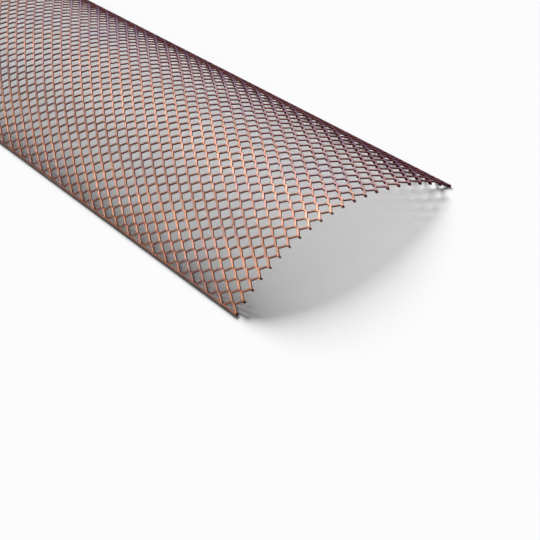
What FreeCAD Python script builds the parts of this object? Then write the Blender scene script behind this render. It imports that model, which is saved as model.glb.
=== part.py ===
# Gutter guard: one strip of raised expanded copper mesh, bowed into a low arch.
#
# Millimetres, +Z up. The guard lies on its two long edges. +X runs along its length,
# +Y is the side that goes under the roof, and the origin is on the floor, midway between
# the two long edges.
#
# Expanded mesh is slit and stretched from one sheet. Each slit leaves a strand, a narrow
# ribbon that the stretching bends into a zigzag, and neighbours stay joined where their
# zigzags touch: the bonds. Seen across the mesh, every strand sits one ribbon's width
# further in than the one before it, so the ribbons lean like louvres. The two long edges of
# the sheet are not stretched, so the outermost strands stay straight.
#
# The bow is folded at every fourth strand, so the guard is made of like flat strips.
import FreeCAD, Part
import os

doc = FreeCAD.newDocument("gutter_guard")

# Driving dimensions
DIMENSIONS = [
    ("guard_length", 914.4),  # end to end, three feet
    ("guard_width", 152.4),  # across the strip, measured along the bow, six inches
    ("arch_radius", 110.0),  # radius of the bow, through the middle of the bonds
    ("diamond_long", 13.42),  # long way of a diamond, bond to bond, before it is fitted
    ("diamond_short", 6.93),  # short way of a diamond, bond to bond, before it is fitted
    ("strand_width", 0.95),  # width of the ribbon between two slits
    ("strand_thickness", 1.0),  # thickness of the sheet
    ("end_margin", 0.3),  # metal past the centre of the last bond at each end
    ("edge_turn", 6.0),  # degrees by which the last strip is turned down further
]

# Worked out from them. Whole diamonds fill the length, and whole strips fill the width.
STRANDS_IN_STRIP = 4
DERIVED = [
    ("columns", "round((guard_length - 2 * end_margin) / diamond_long)"),
    ("strips", "round(guard_width * 2 / diamond_short / strands_in_strip)"),
    ("pitch_long", "(guard_length - 2 * end_margin) / columns"),
    ("fold_angle", "guard_width / arch_radius / strips * 180 / pi"),
    ("strip_height", "arch_radius * cos(fold_angle / 2)"),
    ("strand_pitch", "2 * arch_radius * sin(fold_angle / 2) / strands_in_strip"),
    # The ribbons overlap by their width as they step across the mesh, and that sets their lean
    ("strand_lean", "asin(strand_width / strand_pitch) / 1 rad * 180 / pi"),
    ("wave_height", "strand_pitch * cos(strand_lean)"),
    ("wave_slope", "wave_height / (pitch_long / 2)"),
    ("band_height", "strand_thickness * sqrt(1 + wave_slope ^ 2)"),
    # From the middle of a strand to its bonds, and to the tips of its zigzag, across the mesh and up
    ("bond_across", "wave_height / 2 * cos(strand_lean)"),
    ("bond_up", "wave_height / 2 * sin(strand_lean)"),
    ("tip_across", "(wave_height + band_height) / 2 * cos(strand_lean)"),
    ("tip_up", "(wave_height + band_height) / 2 * sin(strand_lean)"),
    ("edge_across", "(wave_height - strand_thickness) / 2 * cos(strand_lean)"),
    ("edge_up", "(wave_height - strand_thickness) / 2 * sin(strand_lean)"),
    # What the guard rests on, in its flat strips: the second strand's tips and the last strand
    ("corner_across", "strand_width / 2 * sin(strand_lean)"),
    ("corner_height", "strip_height - strand_width / 2 * cos(strand_lean)"),
    ("front_across", "corner_across - tip_across - strand_pitch * (strands_in_strip - 3) / 2"),
    ("front_height", "corner_height - tip_up"),
    # The last strip is turned about the fold before it
    ("fold_across", "-strand_pitch * strands_in_strip / 2"),
    ("rear_reach", "corner_across - edge_across + strand_pitch * (strands_in_strip - 1) / 2 - fold_across"),
    ("rear_drop", "strip_height - corner_height + edge_up"),
    ("rear_across", "fold_across + rear_reach * cos(edge_turn) - rear_drop * sin(edge_turn)"),
    ("rear_height", "strip_height - rear_reach * sin(edge_turn) - rear_drop * cos(edge_turn)"),
    # The same corners in the arch, with its axis as the origin
    ("end_angle", "fold_angle * (strips - 1) / 2"),
    ("front_y", "front_across * cos(end_angle) - front_height * sin(end_angle)"),
    ("front_z", "front_across * sin(end_angle) + front_height * cos(end_angle)"),
    ("rear_y", "rear_across * cos(end_angle) + rear_height * sin(end_angle)"),
    ("rear_z", "rear_height * cos(end_angle) - rear_across * sin(end_angle)"),
    # The small turn that brings both corners down to the floor
    ("level_turn", "atan((rear_z - front_z) / (rear_y - front_y)) / 1 rad * 180 / pi"),
    ("axis_z", "front_y * sin(level_turn) - front_z * cos(level_turn)"),
    # The outermost corners of the straight strands, in their strips and then in the arch
    ("front_rim_across", "edge_across - corner_across - strand_pitch * (strands_in_strip - 1) / 2"),
    ("front_rim_height", "strip_height + strand_width / 2 * cos(strand_lean) + edge_up"),
    ("rim_reach", "strand_pitch * (strands_in_strip - 1) / 2 - edge_across - corner_across - fold_across"),
    ("rim_rise", "strand_width / 2 * cos(strand_lean) - edge_up"),
    ("rear_rim_across", "fold_across + rim_reach * cos(edge_turn) + rim_rise * sin(edge_turn)"),
    ("rear_rim_height", "strip_height - rim_reach * sin(edge_turn) + rim_rise * cos(edge_turn)"),
    ("front_rim_y", "front_rim_across * cos(end_angle) - front_rim_height * sin(end_angle)"),
    ("front_rim_z", "front_rim_across * sin(end_angle) + front_rim_height * cos(end_angle)"),
    ("rear_rim_y", "rear_rim_across * cos(end_angle) + rear_rim_height * sin(end_angle)"),
    ("rear_rim_z", "rear_rim_height * cos(end_angle) - rear_rim_across * sin(end_angle)"),
    # The axis is moved until both rims are as far from the middle
    ("rims_y", "front_rim_y + rear_rim_y"),
    ("rims_z", "front_rim_z + rear_rim_z"),
    ("axis_y", "-(rims_y * cos(level_turn) + rims_z * sin(level_turn)) / 2"),
]

sheet = doc.addObject("Spreadsheet::Sheet", "sizes")
cells = [(name, str(value)) for name, value in DIMENSIONS]
cells.append(("strands_in_strip", str(STRANDS_IN_STRIP)))
cells += [(name, "=" + formula) for name, formula in DERIVED]
for row, (name, content) in enumerate(cells, start=1):
    sheet.set(f"A{row}", name)
    sheet.set(f"B{row}", content)
    sheet.setAlias(f"B{row}", name)
doc.recompute()


def size(name):
    return float(sheet.get(name))


# The zigzag band of one strand, seen from its edge: the first strand of a pair peaks at the
# bonds of both ends of the guard, and the second one dips there to meet it.
def zigzag(dips):
    half_pitch = size("pitch_long") / 2
    half_wave = size("wave_height") / 2
    side = -1 if dips else 1
    columns = int(size("columns"))
    end_height = half_wave - size("end_margin") * size("wave_slope")
    bends = [(place * half_pitch, (-1) ** place * half_wave) for place in range(-columns, columns + 1)]
    end = size("guard_length") / 2
    line = [(-end, end_height)] + bends + [(end, end_height)]
    half_band = FreeCAD.Vector(0, 0, size("band_height") / 2)
    middle = [FreeCAD.Vector(x, 0, side * height) for x, height in line]
    outline = [point - half_band for point in middle] + [point + half_band for point in reversed(middle)]
    return Part.Face(Part.makePolygon(outline + outline[:1]))


# The band of a straight strand on a long edge
def straight():
    end = size("guard_length") / 2
    half_sheet = size("strand_thickness") / 2
    corners = [(-end, -half_sheet), (end, -half_sheet), (end, half_sheet), (-end, half_sheet)]
    outline = [FreeCAD.Vector(x, 0, z) for x, z in corners]
    return Part.Face(Part.makePolygon(outline + outline[:1]))


bands = {}
for name, face in (("peaking", zigzag(False)), ("dipping", zigzag(True)), ("straight", straight())):
    bands[name] = doc.addObject("Part::Feature", f"{name}_band")
    bands[name].Shape = face

# A strand is a band drawn out to the ribbon's width and laid to its lean, at its place across a
# flat strip. A straight one is moved to the level of its neighbour's bonds.
TURN_AXIS = FreeCAD.Vector(1, 0, 0)


def make_strand(name, band, index, bonds=0):
    strand = doc.addObject("Part::Extrusion", name)
    strand.Base = bands[band]
    strand.DirMode = "Custom"
    strand.Dir = FreeCAD.Vector(0, 1, 0)
    strand.Solid = True
    strand.setExpression("LengthFwd", "sizes.strand_width / 2")
    strand.setExpression("LengthRev", "sizes.strand_width / 2")
    strand.Placement.Rotation = FreeCAD.Rotation(TURN_AXIS, -60)
    strand.setExpression("Placement.Rotation.Angle", "sizes.strand_lean - 90")
    across = f"sizes.strand_pitch * ({index} - (sizes.strands_in_strip - 1) / 2)"
    strand.setExpression("Placement.Base.y", f"{across} + sizes.bond_across * {bonds}")
    strand.setExpression("Placement.Base.z", f"sizes.strip_height + sizes.bond_up * {bonds}")
    return strand


last = STRANDS_IN_STRIP - 1
strands = [make_strand(f"strand_{i + 1}", ("peaking", "dipping")[i % 2], i) for i in range(STRANDS_IN_STRIP)]
front_edge = make_strand("front_edge_strand", "straight", 0, 1)
rear_edge = make_strand("rear_edge_strand", "straight", last, -1)

# Joined at their bonds, they are one strip of mesh
nets = {}
for name, members in (
    ("strip_net", strands),
    ("front_net", [front_edge] + strands[1:]),
    ("rear_net", strands[:last] + [rear_edge]),
):
    nets[name] = doc.addObject("Part::MultiFuse", name)
    nets[name].Shapes = members

# The last strip is turned down further, about the fold before it
turned = doc.addObject("Part::Compound", "rear_turned")
turned.Links = [nets["rear_net"]]
turned.Placement.Rotation = FreeCAD.Rotation(TURN_AXIS, -1)
turned.setExpression("Placement.Rotation.Angle", "-sizes.edge_turn")
fold_y, fold_z = "sizes.fold_across", "sizes.strip_height"
cosine, sine = "cos(sizes.edge_turn)", "sin(sizes.edge_turn)"
turned.setExpression("Placement.Base.y", f"{fold_y} * (1 - {cosine}) - {fold_z} * {sine}")
turned.setExpression("Placement.Base.z", f"{fold_z} * (1 - {cosine}) + {fold_y} * {sine}")
nets["rear_turned"] = turned

# The strips, turned one fold after another about the axis of the bow, from -Y to +Y
strips = []
strip_count = int(size("strips"))
edge_nets = {0: "front_net", strip_count - 1: "rear_turned"}
for index in range(strip_count):
    strip = doc.addObject("Part::Compound", f"mesh_strip_{index + 1:02d}")
    strip.Label = strip.Name
    strip.Links = [nets[edge_nets.get(index, "strip_net")]]
    strip.Placement.Rotation = FreeCAD.Rotation(TURN_AXIS, 1)
    folds = f"({index} - (sizes.strips - 1) / 2)"
    strip.setExpression("Placement.Rotation.Angle", f"-sizes.fold_angle * {folds} - sizes.level_turn")
    strip.setExpression("Placement.Base.y", "sizes.axis_y")
    strip.setExpression("Placement.Base.z", "sizes.axis_z")
    strips.append(strip)
doc.recompute()

# Checks, then one file for each strip
for item in doc.Objects:
    if "Invalid" in item.State or "Error" in item.State:
        raise RuntimeError(f"{item.Label} did not build")
for strip in strips:
    if strip.Shape.isNull() or not strip.Shape.isValid() or len(strip.Shape.Solids) != 1:
        raise RuntimeError(f"{strip.Label} is not one sound solid")

os.makedirs("parts", exist_ok=True)
for strip in strips:
    strip.Shape.exportStep(f"parts/{strip.Label}.step")
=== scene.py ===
# %% [markdown]
# # A gutter guard of expanded copper
# The guard is one strip of raised expanded metal, bowed into a low arch.
# A press slits a copper sheet in staggered rows and pulls each slit open,
# so the sheet becomes a net of thin ribbons that stand on edge. This
# lesson makes one ribbon well, lays it out 44 times and gives it the
# finish of copper that has been outdoors for a while.

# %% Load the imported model
import bpy
import bmesh
from math import radians, sin, cos, sqrt
from mathutils import Matrix, Vector, noise


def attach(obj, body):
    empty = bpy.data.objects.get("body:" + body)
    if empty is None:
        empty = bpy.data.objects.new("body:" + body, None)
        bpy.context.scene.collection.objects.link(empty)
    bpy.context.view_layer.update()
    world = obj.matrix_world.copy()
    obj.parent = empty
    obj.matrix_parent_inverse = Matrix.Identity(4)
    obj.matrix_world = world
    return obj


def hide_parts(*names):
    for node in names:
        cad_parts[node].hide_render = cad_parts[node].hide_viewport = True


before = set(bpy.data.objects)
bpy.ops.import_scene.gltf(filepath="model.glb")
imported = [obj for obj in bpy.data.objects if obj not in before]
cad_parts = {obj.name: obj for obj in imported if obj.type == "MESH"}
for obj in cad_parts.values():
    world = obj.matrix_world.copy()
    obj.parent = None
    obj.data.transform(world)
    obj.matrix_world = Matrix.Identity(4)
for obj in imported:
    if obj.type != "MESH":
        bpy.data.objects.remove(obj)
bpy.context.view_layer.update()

# %% [markdown]
# ## The camera
# The rows of diamonds are a ruler that runs away from the camera, so they
# fix where it stood: well above the guard, in front of its near end, with
# the picture tilted. A camera's own axes are right, up and backwards, so
# those three directions and its place make its matrix.

# %% Camera
MM = 0.001
right = Vector((0.55060, 0.80298, -0.22818))
up = Vector((-0.36983, 0.47969, 0.79569))
back = Vector((0.74838, -0.35371, 0.56109))
stand = Vector((991.61, -296.04, 414.51)) * MM

camera = bpy.data.objects.new("camera", bpy.data.cameras.new("camera"))
bpy.context.scene.collection.objects.link(camera)
camera.data.sensor_width = 36.0
camera.data.lens = 99.216
camera.data.clip_start = 0.01
turn = Matrix((right, up, back)).transposed()
camera.matrix_world = Matrix.Translation(stand) @ turn.to_4x4()
bpy.context.scene.camera = camera
print("camera at", tuple(round(n, 3) for n in stand), "lens", camera.data.lens)

# %% [markdown]
# ## One wave of a ribbon
# Each ribbon runs the length of the guard in waves: a short flat where it
# is still joined to its neighbour, a bend, a straight leg down, a bend and
# the next flat. An array of boxes would show a kink at every bend, and a
# curve with a bevel would give no control over the joined flats. So a
# small cross-section is drawn once and extruded from station to station.
# Stretching also rolls the legs a little: those that come forward turn
# their torn edge to one end of the guard, the others turn it away, and
# so the first catch the light in bright columns.

# %% Sizes of the mesh
PITCH = 13.43824 * MM      # one wave along the guard
WIDTH = 0.95 * MM          # the ribbon, from slit to slit
THICK = 1.0 * MM           # the copper sheet
WAVE = 3.32843 * MM        # from the dip of a wave to its peak
FLAT = 0.8 * MM            # half of the straight part of a bond
BEND = 0.9 * MM            # length of each bend
EASED = 0.09 * MM          # corner of the ribbon, rubbed round
TWIST = 0.21               # how much a leg rolls back between its bonds
LENGTH = 914.4 * MM        # the guard, from end to end

slope = WAVE / (PITCH / 2 - 2 * FLAT - BEND)
print("legs fall at", round(slope, 3), "to 1")

# %% Stations along one wave: place, height, slope, which side is joined
def leg_down():
    """From the end of a peak's flat to the start of the next dip's flat."""
    half = WAVE / 2
    in_bend = slope * BEND / 8
    at_bend = slope * BEND / 2
    low = PITCH / 2 - FLAT
    return [
        (FLAT, half, 0.0, 1),
        (FLAT + BEND / 2, half - in_bend, slope / 2, 0),
        (FLAT + BEND, half - at_bend, slope, 0),
        (low - BEND, at_bend - half, slope, 0),
        (low - BEND / 2, in_bend - half, slope / 2, 0),
        (low, -half, 0.0, -1),
    ]


down = leg_down()
rise = [(PITCH - x, z, s, side) for x, z, s, side in reversed(down)]
waved = [(-FLAT, WAVE / 2, 0.0, 1)] + down + rise
print(len(waved), "stations on a wave")

# %% Extrude the section through the stations
BITE = 0.006 * MM          # a bond's face reaches this far into its neighbour
SHY = 0.015 * MM           # and its corners stay this far back
TUCK = 0.02 * MM           # the face is thinner than the sheet by this, each side


def ribbon_section(bm):
    """A flat rectangle across the ribbon with its four corners eased."""
    bmesh.ops.create_grid(bm, x_segments=1, y_segments=1, size=0.5)
    bmesh.ops.scale(bm, vec=(THICK, WIDTH, 1), verts=bm.verts)
    bmesh.ops.bevel(bm, geom=list(bm.verts), offset=EASED, offset_type="OFFSET",
                    affect="VERTICES", segments=1, profile=0.5, material=-1)
    bmesh.ops.rotate(bm, matrix=Matrix.Rotation(radians(-90), 3, "Y"), verts=bm.verts)
    bmesh.ops.delete(bm, geom=list(bm.faces), context="FACES_ONLY")


def set_station(verts, shape, station):
    """Moves a ring of the section to a station and fits it there."""
    x, z, s, side = station
    for vert, (across, thick) in zip(verts, shape):
        if side * across > 0:                # a joined side stays square
            full = abs(across) > WIDTH / 2 - EASED / 2
            across = side * (WIDTH / 2 + (BITE if full else -SHY))
            thick = (THICK / 2 - (TUCK if full else 0.0)) * (1 if thick > 0 else -1)
        rolled = across + TWIST * thick * s / slope
        vert.co = (x, rolled, z + thick * sqrt(1 + s * s))


def one_pitch(name, stations):
    """The section drawn through the stations of one pitch, open at both ends."""
    bm = bmesh.new()
    ribbon_section(bm)
    ring, edges = list(bm.verts), list(bm.edges)
    shape = [(v.co.y, v.co.z) for v in ring]
    set_station(ring, shape, stations[0])
    for station in stations[1:]:
        order = {v.co.to_tuple(7): i for i, v in enumerate(ring)}
        made = bmesh.ops.extrude_edge_only(bm, edges=edges)["geom"]
        ring = [g for g in made if isinstance(g, bmesh.types.BMVert)]
        ring.sort(key=lambda v: order[v.co.to_tuple(7)])
        edges = [g for g in made if isinstance(g, bmesh.types.BMEdge)]
        set_station(ring, shape, station)
    mesh = bpy.data.meshes.new(name)
    bm.to_mesh(mesh)
    bm.free()
    return mesh


wave_mesh = one_pitch("one_wave", waved)
print("one wave has", len(wave_mesh.polygons), "faces")

# %% [markdown]
# ## A whole ribbon
# The wave is repeated 70 times, merged end to end, and cut square at both
# ends, as the shear at the factory does. Every second ribbon starts half
# a wave later, which is what opens the diamonds between them. The press
# never stretches the sheet's two long edges, so the outermost ribbons are
# straight, and lie at the height of their neighbour's bonds.

# %% Repeat, merge and shear
WAVES = 70                 # a little more than the guard's length
WAVED_PAIRS = 21           # ribbons between the two straight ones, by twos
MERGE = 0.002 * MM


def whole_ribbon(name, pitch_mesh, start=0.0):
    """A ribbon as long as the guard, its waves moved along by start."""
    bm = bmesh.new()
    for number in range(WAVES):
        before = len(bm.verts)
        bm.from_mesh(pitch_mesh)
        bm.verts.ensure_lookup_table()
        bmesh.ops.translate(bm, vec=(start + (number - WAVES / 2) * PITCH, 0, 0),
                            verts=bm.verts[before:])
    bmesh.ops.remove_doubles(bm, verts=bm.verts, dist=MERGE)
    for end in (-1, 1):
        whole = list(bm.verts) + list(bm.edges) + list(bm.faces)
        bmesh.ops.bisect_plane(bm, geom=whole, dist=1e-7, clear_outer=True,
                               plane_co=(end * LENGTH / 2, 0, 0), plane_no=(end, 0, 0))
    bmesh.ops.holes_fill(bm, edges=[e for e in bm.edges if e.is_boundary], sides=0)
    bmesh.ops.recalc_face_normals(bm, faces=bm.faces)
    for face in bm.faces:                    # 1 is a slit or sheared edge
        face.material_index = int(abs(face.normal.y) > 0.5 or abs(face.normal.x) > 0.9)
    mesh = bpy.data.meshes.new(name)
    bm.to_mesh(mesh)
    bm.free()
    return mesh


def edge_stations(side):
    """A straight ribbon, square where its neighbour's bonds meet it."""
    height, free = side * WAVE / 2, FLAT + BEND / 2
    places = [(-FLAT, side), (FLAT, side), (free, 0), (PITCH - free, 0), (PITCH - FLAT, side)]
    return [(x, height, 0.0, joined) for x, joined in places]


peaks_first = whole_ribbon("ribbon_peaks_first", wave_mesh)
dips_first = whole_ribbon("ribbon_dips_first", wave_mesh, PITCH / 2)
front_edge = whole_ribbon("ribbon_front_edge", one_pitch("front_pitch", edge_stations(1)))
rear_edge = whole_ribbon("ribbon_rear_edge", one_pitch("rear_pitch", edge_stations(-1)))
ribbons = [front_edge] + [dips_first, peaks_first] * WAVED_PAIRS + [rear_edge]
print(len(ribbons), "ribbons, a waved one has", len(peaks_first.polygons), "faces")

# %% [markdown]
# ## Copper that has weathered, with painted shade
# New copper is salmon pink. Outdoors it browns within weeks, unevenly, with
# a violet film where the oxide is still thin. The rolled faces are painted
# darker than the slit edges, as painted shade. The rows at the roof side are
# painted dark red, also as painted shade. Both surfaces share one node group
# that makes the patches and the painted shade, and each material gives it
# its own four colours.

# %% Patches of tarnish and painted shade, shared by both finishes
COLOR_A, COLOR_B, COLOR_OUT = 6, 7, 2        # a Mix node's sockets for colours
VALUE_A, VALUE_B, VALUE_OUT = 2, 3, 0        # and for plain values
# painted shade on the rear rows starts at the first distance and is full at the second
SHADE_FROM, SHADE_FULL = 36 * MM, 62 * MM    # across the guard, from its middle
BROWN_DULLS = 0.14                           # roughness that full brown adds


def link(tree, a, b):
    tree.links.new(a, b)


def tarnish_and_shade_group():
    """Noise masks that blend bright, brown and violet copper, and painted shade at the roof side.
    """
    group = bpy.data.node_groups.new("copper_tarnish_and_shade", "ShaderNodeTree")
    face = group.interface
    face.new_socket("Vector", in_out="INPUT", socket_type="NodeSocketVector")
    for name in ("Bright", "Brown", "Violet", "Painted Shade"):
        face.new_socket(name, in_out="INPUT", socket_type="NodeSocketColor")
    for name in ("Brown Amount", "Violet Amount", "Painted Shade Amount", "Gloss", "Dull"):
        face.new_socket(name, in_out="INPUT", socket_type="NodeSocketFloat")
    face.new_socket("Color", in_out="OUTPUT", socket_type="NodeSocketColor")
    face.new_socket("Roughness", in_out="OUTPUT", socket_type="NodeSocketFloat")
    face.new_socket("Height", in_out="OUTPUT", socket_type="NodeSocketFloat")
    nodes = group.nodes
    given = nodes.new("NodeGroupInput")
    result = nodes.new("NodeGroupOutput")

    def cloud(scale, detail, stretch=(1, 1, 1)):
        place = nodes.new("ShaderNodeMapping")
        place.inputs["Scale"].default_value = stretch
        tex = nodes.new("ShaderNodeTexNoise")
        tex.inputs["Scale"].default_value = scale
        tex.inputs["Detail"].default_value = detail
        tex.inputs["Roughness"].default_value = 0.6
        link(group, given.outputs["Vector"], place.inputs["Vector"])
        link(group, place.outputs["Vector"], tex.inputs["Vector"])
        return tex.outputs["Fac"]

    def mask(value, low, high, amount):
        spread = nodes.new("ShaderNodeMapRange")
        spread.interpolation_type = "SMOOTHSTEP"
        spread.inputs["From Min"].default_value = low
        spread.inputs["From Max"].default_value = high
        times = nodes.new("ShaderNodeMath")
        times.operation = "MULTIPLY"
        link(group, value, spread.inputs["Value"])
        link(group, spread.outputs["Result"], times.inputs[0])
        link(group, given.outputs[amount], times.inputs[1])
        return times.outputs[0]

    def blend(fac, a, b):
        mix = nodes.new("ShaderNodeMix")
        mix.data_type = "RGBA"
        link(group, fac, mix.inputs["Factor"])
        link(group, a, mix.inputs[COLOR_A])
        link(group, given.outputs[b], mix.inputs[COLOR_B])
        return mix.outputs[COLOR_OUT]

    brown = mask(cloud(scale=38, detail=5), 0.38, 0.68, "Brown Amount")
    violet = mask(cloud(scale=21, detail=3), 0.45, 0.66, "Violet Amount")
    specks = mask(cloud(scale=900, detail=3), 0.55, 0.72, "Brown Amount")
    streaks = cloud(scale=700, detail=4, stretch=(0.12, 1, 1))
    place = nodes.new("ShaderNodeSeparateXYZ")
    link(group, given.outputs["Vector"], place.inputs["Vector"])
    # painted shade: the rows towards the roof side are darkened to a dark red
    painted_rear_shade = mask(place.outputs["Y"], SHADE_FROM, SHADE_FULL, "Painted Shade Amount")
    color = blend(brown, given.outputs["Bright"], "Brown")
    color = blend(violet, color, "Violet")
    color = blend(specks, color, "Brown")
    color = blend(painted_rear_shade, color, "Painted Shade")
    link(group, color, result.inputs["Color"])

    gloss = nodes.new("ShaderNodeMix")
    link(group, streaks, gloss.inputs["Factor"])
    link(group, given.outputs["Gloss"], gloss.inputs[VALUE_A])
    link(group, given.outputs["Dull"], gloss.inputs[VALUE_B])
    worn = nodes.new("ShaderNodeMath")
    worn.operation = "MULTIPLY_ADD"
    worn.inputs[1].default_value = BROWN_DULLS
    link(group, brown, worn.inputs[0])
    link(group, gloss.outputs[VALUE_OUT], worn.inputs[2])
    link(group, worn.outputs[0], result.inputs["Roughness"])
    link(group, streaks, result.inputs["Height"])
    return group


copper_tarnish_and_shade = tarnish_and_shade_group()
print("group with", len(copper_tarnish_and_shade.nodes), "nodes")

# %% The two finishes
def copper(name, colors, values, grain):
    """A metal whose colour, roughness and grain come from the patches."""
    mat = bpy.data.materials.new(name)
    mat.use_nodes = True
    tree = mat.node_tree
    metal = tree.nodes["Principled BSDF"]
    metal.inputs["Metallic"].default_value = 1.0
    where = tree.nodes.new("ShaderNodeTexCoord")
    film = tree.nodes.new("ShaderNodeGroup")
    film.node_tree = copper_tarnish_and_shade
    for socket, color in colors.items():
        film.inputs[socket].default_value = (*color, 1)
    for socket, value in values.items():
        film.inputs[socket].default_value = value
    bump = tree.nodes.new("ShaderNodeBump")
    bump.inputs["Strength"].default_value = grain
    bump.inputs["Distance"].default_value = 0.03 * MM
    link(tree, where.outputs["Object"], film.inputs["Vector"])
    link(tree, film.outputs["Color"], metal.inputs["Base Color"])
    link(tree, film.outputs["Roughness"], metal.inputs["Roughness"])
    link(tree, film.outputs["Height"], bump.inputs["Height"])
    link(tree, bump.outputs["Normal"], metal.inputs["Normal"])
    return mat


# painted shade: the rolled faces get a darker copper than the slit edges, on top of their tarnish
shaded_tarnished_face = copper(
    "shaded_tarnished_face",
    {"Bright": (0.61, 0.25, 0.155), "Brown": (0.28, 0.085, 0.05),
     "Violet": (0.30, 0.14, 0.20), "Painted Shade": (0.19, 0.065, 0.085)},
    {"Brown Amount": 0.75, "Violet Amount": 0.65, "Painted Shade Amount": 0.85,
     "Gloss": 0.20, "Dull": 0.34},
    grain=0.5)
# painted light: the slit edges get a lighter copper than the rolled faces, on top of their
# tarnish
lit_tarnished_edge = copper(
    "lit_tarnished_edge",
    {"Bright": (0.95, 0.51, 0.35), "Brown": (0.62, 0.235, 0.13),
     "Violet": (0.62, 0.38, 0.42), "Painted Shade": (0.25, 0.09, 0.115)},
    {"Brown Amount": 0.50, "Violet Amount": 0.45, "Painted Shade Amount": 0.85,
     "Gloss": 0.18, "Dull": 0.34},
    grain=0.8)
print("finishes:", shaded_tarnished_face.name, lit_tarnished_edge.name)

# %% [markdown]
# ## Bowing the mesh
# The strip is bowed across its width, so each ribbon is turned a little
# more than the one before and moved on by one step. Turning ribbon by
# ribbon gives a smooth bow, and the last few rows are turned down more, as
# the mesh is at the roof. The ribbons lean, because each one sits a
# ribbon's width further in than its neighbour. At the roof the straight
# ribbon runs through the tops of the last waves, so the rear edge is one
# clean line. Hand bending leaves the mesh a little uneven, and a soft
# noise on the vertices does the same.

# %% The line of the bow
LEAN = 15.92981            # degrees that a ribbon leans over
TURN = 7.21643 / 4         # degrees from one ribbon to the next
LEVEL = -0.06              # degrees that set both long edges on the floor
AXIS = Vector((0, 0.73, -85.21094)) * MM
RADIUS = 109.7 * MM
STEP = 3.4545 * MM         # across the mesh, from one ribbon to the next
CURL_FROM = 36             # the ribbon where the roof side starts to turn down more
CURL = 9.0                 # degrees that the last ribbon has turned more
RIM_OUT = 1.0 * MM         # puts the last ribbon into the tops of the waves before it
RIM_IN = 0.45 * MM


def outward(angle):
    return Vector((0, sin(angle), cos(angle)))


def onward(angle):
    return Vector((0, cos(angle), -sin(angle)))


def bow_line():
    """The turn in degrees and the middle of each ribbon, from the front edge to the rear."""
    last = len(ribbons) - 1
    angles = []
    for number in range(len(ribbons)):
        curl = max(0.0, (number - CURL_FROM) / (last - CURL_FROM))
        angles.append((number - last / 2) * TURN + LEVEL + CURL * curl ** 2)
    spot = AXIS + RADIUS * outward(radians(angles[0]))
    line = [(angles[0], spot)]
    for before, after in zip(angles, angles[1:]):
        spot = spot + STEP * onward(radians((before + after) / 2))
        line.append((after, spot))
    rim = radians(angles[-1])
    line[-1] = (angles[-1], spot + RIM_OUT * outward(rim) - RIM_IN * onward(rim))
    return line


bow = bow_line()
print("edges turned", round(bow[0][0], 1), "and", round(bow[-1][0], 1), "degrees")

# %% Lay the ribbons on it
PER_PIECE = 4              # ribbons in one strip of the model
HALF_SPAN = 68 * MM        # from the middle of the guard to a long edge
DENT, DENTS = 0.16 * MM, 14
WOBBLE, WOBBLES = 0.05 * MM, 95
noise.seed_set(7)          # the same dents in every run


def uneven(spot, edge):
    """A small push for a vertex: long dents inwards, short wobble all over."""
    dent = (noise.noise(spot * DENTS) + 1) * DENT * edge
    wobble = noise.noise_vector(spot * WOBBLES) * WOBBLE * min(1.0, edge * 5)
    return wobble - Vector((0, 0, dent))


def mesh_piece(number):
    """Four ribbons that stand for one CAD strip."""
    bm = bmesh.new()
    for k in range(number * PER_PIECE, (number + 1) * PER_PIECE):
        before = len(bm.verts)
        bm.from_mesh(ribbons[k])
        bm.verts.ensure_lookup_table()
        fresh = bm.verts[before:]
        angle, place = bow[k]
        tilt = Matrix.Rotation(radians(LEAN - 90 - angle), 3, "X")
        bmesh.ops.rotate(bm, cent=(0, 0, 0), matrix=tilt, verts=fresh)
        bmesh.ops.translate(bm, vec=place, verts=fresh)
    for vert in bm.verts:                    # the long edges stay straight
        edge = max(0.0, 1 - (vert.co.y / HALF_SPAN) ** 2)
        push = uneven(vert.co, edge)
        vert.co.y += push.y
        vert.co.z += push.z
    mesh = bpy.data.meshes.new(f"copper_mesh_{number + 1:02d}")
    bm.to_mesh(mesh)
    bm.free()
    mesh.materials.append(shaded_tarnished_face)
    mesh.materials.append(lit_tarnished_edge)
    mesh.shade_smooth()
    mesh.set_sharp_from_angle(angle=radians(30))
    piece = bpy.data.objects.new(mesh.name, mesh)
    bpy.context.scene.collection.objects.link(piece)
    return piece


pieces = [mesh_piece(number) for number in range(len(ribbons) // PER_PIECE)]
print(len(pieces), "pieces,", sum(len(p.data.polygons) for p in pieces), "faces")

# %% Set the mesh down on the floor
lowest = min(v.co.z for p in pieces for v in p.data.vertices)
for piece in pieces:
    piece.data.transform(Matrix.Translation((0, 0, -lowest)))
print("moved up by", round(-lowest / MM, 3), "mm")

# %% Tie each piece to its strip in the model
for number, piece in enumerate(pieces):
    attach(piece, "root")
    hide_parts(f"mesh_strip_{number + 1:02d}")
print("tied", pieces[0].name, "to", pieces[-1].name)

# %% [markdown]
# ## Floor and light
# Polished metal shows its surroundings more than itself, so what stands
# around it is part of the finish. One wide soft box hangs overhead, and a
# second beyond the far end makes the top of the bow glow pink. Cards
# that only reflections can see do the rest: brown ones on the floor and
# behind darken the faces that look down and back, a blue one for the sky
# turns the rear rows lilac, and a dim cream one lifts the front rows. The
# floor itself stays plain and pale. It is lit evenly by a wide sun that is
# low enough for the mesh to throw a real shadow, so the copper stands
# out against the floor behind its openings.

# %% Floor
def stage_object(name, bm, color):
    """Turns a bmesh into a matt object that belongs to the stage."""
    mesh = bpy.data.meshes.new(name)
    bm.to_mesh(mesh)
    bm.free()
    made = bpy.data.objects.new(name, mesh)
    bpy.context.scene.collection.objects.link(made)
    mat = bpy.data.materials.new(f"{name}_paint")
    mat.use_nodes = True
    paint = mat.node_tree.nodes["Principled BSDF"]
    paint.inputs["Base Color"].default_value = (*color, 1)
    paint.inputs["Roughness"].default_value = 0.9
    mesh.materials.append(mat)
    return made, paint


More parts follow.
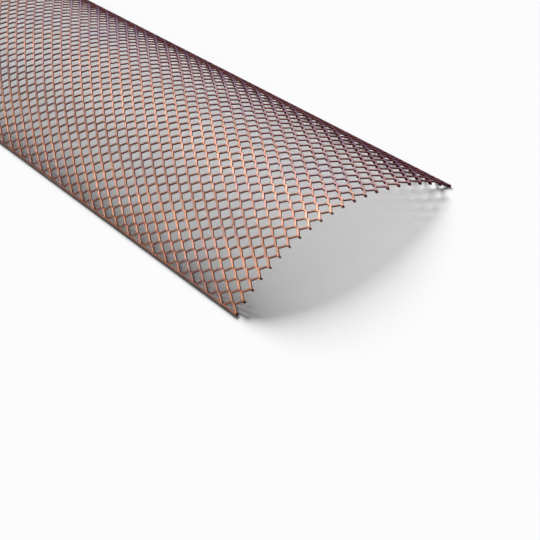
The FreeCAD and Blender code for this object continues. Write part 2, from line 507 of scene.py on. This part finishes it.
def pale_floor(half_size):
    """A plain square floor at the height of the guard's edges."""
    bm = bmesh.new()
    bmesh.ops.create_grid(bm, x_segments=1, y_segments=1, size=half_size)
    return stage_object("floor", bm, (0.86, 0.86, 0.86))[0]


floor = pale_floor(6.0)
print("floor", tuple(round(n, 1) for n in floor.dimensions))

# %% Cards that only reflections see
def card(name, size, place, turn, color, glow=0.0):
    """A plain card, dark or glowing, that tints what the copper mirrors and nothing else."""
    bm = bmesh.new()
    bmesh.ops.create_grid(bm, x_segments=1, y_segments=1, size=0.5)
    bmesh.ops.scale(bm, vec=(*size, 1), verts=bm.verts)
    bmesh.ops.rotate(bm, matrix=Matrix.Rotation(radians(turn), 3, "X"), verts=bm.verts)
    bmesh.ops.translate(bm, vec=place, verts=bm.verts)
    made, paint = stage_object(name, bm, color)
    paint.inputs["Emission Color"].default_value = (*color, 1)
    paint.inputs["Emission Strength"].default_value = glow
    made.visible_camera = False
    made.visible_diffuse = False
    made.visible_shadow = False
    return made


cards = [
    card("brown_card_under", size=(5.0, 3.8), place=(-1.5, 1.1, 0.0004), turn=0,
         color=(0.08, 0.025, 0.04)),
    card("brown_card_behind", size=(3.6, 0.09), place=(-0.9, 0.45, 0.05), turn=90,
         color=(0.20, 0.05, 0.05)),
    card("sky_card", size=(4.4, 1.5), place=(-1.3, 1.2, 0.87), turn=90,
         color=(0.46, 0.60, 1.0), glow=0.75),
    card("cream_card_front", size=(1.6, 1.0), place=(-1.0, -1.05, 1.25), turn=90,
         color=(0.60, 0.54, 0.48), glow=0.8),
]
print("cards:", [made.name for made in cards])

# %% Lights
def add_lamp(name, data, direction):
    """Puts a lamp into the scene that shines in a direction."""
    lamp = bpy.data.objects.new(name, data)
    lamp.rotation_euler = direction.to_track_quat("-Z", "Y").to_euler()
    bpy.context.scene.collection.objects.link(lamp)
    return lamp


def soft_box(name, place, target, size, watts, tint=(1, 1, 1)):
    """A wide light at place that looks at target, seen in the copper and not on the floor."""
    data = bpy.data.lights.new(name, "AREA")
    data.shape = "RECTANGLE"
    data.size, data.size_y = size
    data.energy = watts
    data.color = tint
    lamp = add_lamp(name, data, Vector(target) - Vector(place))
    lamp.location = place
    lamp.visible_diffuse = False


def low_sun(name, direction, spread, strength):
    """An even light for the floor, with its spread in degrees, that the copper doesn't mirror."""
    data = bpy.data.lights.new(name, "SUN")
    data.angle = radians(spread)
    data.energy = strength
    lamp = add_lamp(name, data, Vector(direction))
    lamp.visible_glossy = False


soft_box("overhead", place=(0.0, 0.1, 2.2), target=(0.0, 0.1, 0), size=(2.4, 2.4), watts=26)
soft_box("far_end", place=(-1.4, 0.25, 1.8), target=(0.1, 0, 0), size=(1.3, 1.15), watts=5.4,
         tint=(1.0, 0.97, 0.94))
low_sun("low_side", direction=(0.80, -0.36, -0.46), spread=26, strength=6.6)

# %% The room
def white_room(tint, strength):
    """A room that looks as white as the floor, and lights the scene only faintly."""
    room = bpy.data.worlds.new("room")
    room.use_nodes = True
    tree = room.node_tree
    faint = tree.nodes["Background"]
    faint.inputs["Color"].default_value = (*tint, 1)
    faint.inputs["Strength"].default_value = strength
    wall = tree.nodes.new("ShaderNodeBackground")
    wall.inputs["Color"].default_value = (0.98, 0.98, 0.98, 1)
    path = tree.nodes.new("ShaderNodeLightPath")
    mix = tree.nodes.new("ShaderNodeMixShader")
    link(tree, path.outputs["Is Camera Ray"], mix.inputs["Fac"])
    link(tree, faint.outputs["Background"], mix.inputs[1])
    link(tree, wall.outputs["Background"], mix.inputs[2])
    link(tree, mix.outputs["Shader"], tree.nodes["World Output"].inputs["Surface"])
    return room


bpy.context.scene.world = white_room(tint=(0.95, 0.97, 1.0), strength=0.18)
bpy.context.scene.view_settings.view_transform = "Standard"
print("room:", bpy.context.scene.world.name)
